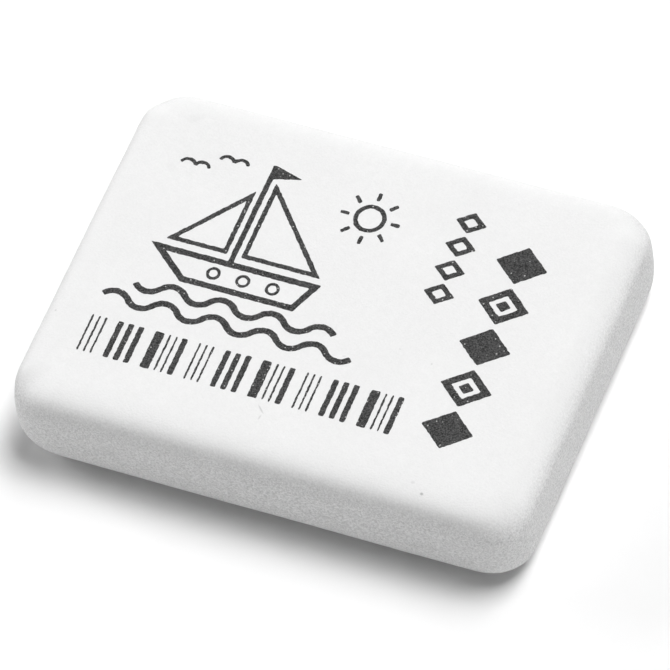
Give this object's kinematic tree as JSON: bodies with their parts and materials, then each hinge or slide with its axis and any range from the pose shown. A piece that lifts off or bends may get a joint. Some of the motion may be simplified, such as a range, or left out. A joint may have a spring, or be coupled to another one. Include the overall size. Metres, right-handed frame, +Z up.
{
  "type": "rubber eraser",
  "caption": "Small off-white rubber eraser, a rounded rectangular block with a dark grey line print of a sailing boat, bars and diamonds on its top face.",
  "frame": {"origin": "centre of the underside, on the surface that the eraser rests on", "axes": "+X along the length towards the diamond column, +Y across the width from the row of bars to the picture, +Z up out of the printed face"},
  "size_m": [0.031, 0.023, 0.006],
  "materials": {
    "rubber": "matt off-white moulded vulcanised rubber with a fine powdery grain",
    "ink": "matt dark grey pad-printed ink with slightly ragged edges"
  },
  "bodies": {
    "root": {"eraser_block": "rubber", "ink_sailboat": "ink", "ink_sun": "ink", "ink_gulls": "ink", "ink_waves": "ink", "ink_bar_row": "ink", "ink_diamond_column": "ink", "ink_small_diamonds": "ink"}
  },
  "joints": []
}
